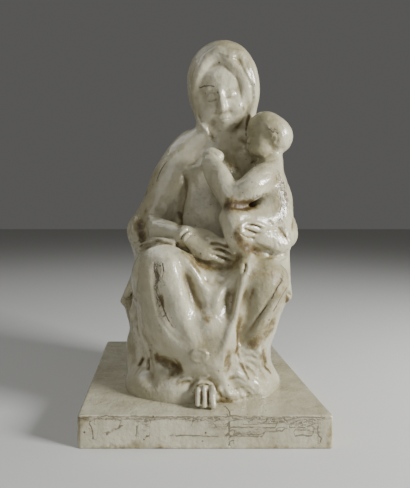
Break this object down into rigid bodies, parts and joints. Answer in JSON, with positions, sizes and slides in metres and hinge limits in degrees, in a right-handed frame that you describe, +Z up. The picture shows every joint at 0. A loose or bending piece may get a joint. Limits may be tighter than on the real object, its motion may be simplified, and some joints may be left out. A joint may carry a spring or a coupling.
{
  "type": "madonna and child statue",
  "caption": "Seated veiled mother holding a small child on her left thigh, a glazed ceramic group cast with its rectangular plinth.",
  "frame": {"origin": "centre of the plinth's underside, which is the flat face that the statue stands on", "axes": "+Z up, +X to the figure's own left, the figure faces -Y"},
  "size_m": [0.234, 0.226, 0.4177],
  "materials": {
    "glaze": "glossy off-white glaze, fine crackle, brown wash left in the folds"
  },
  "bodies": {
    "root": {"madonna_and_child": "glaze"}
  },
  "joints": []
}
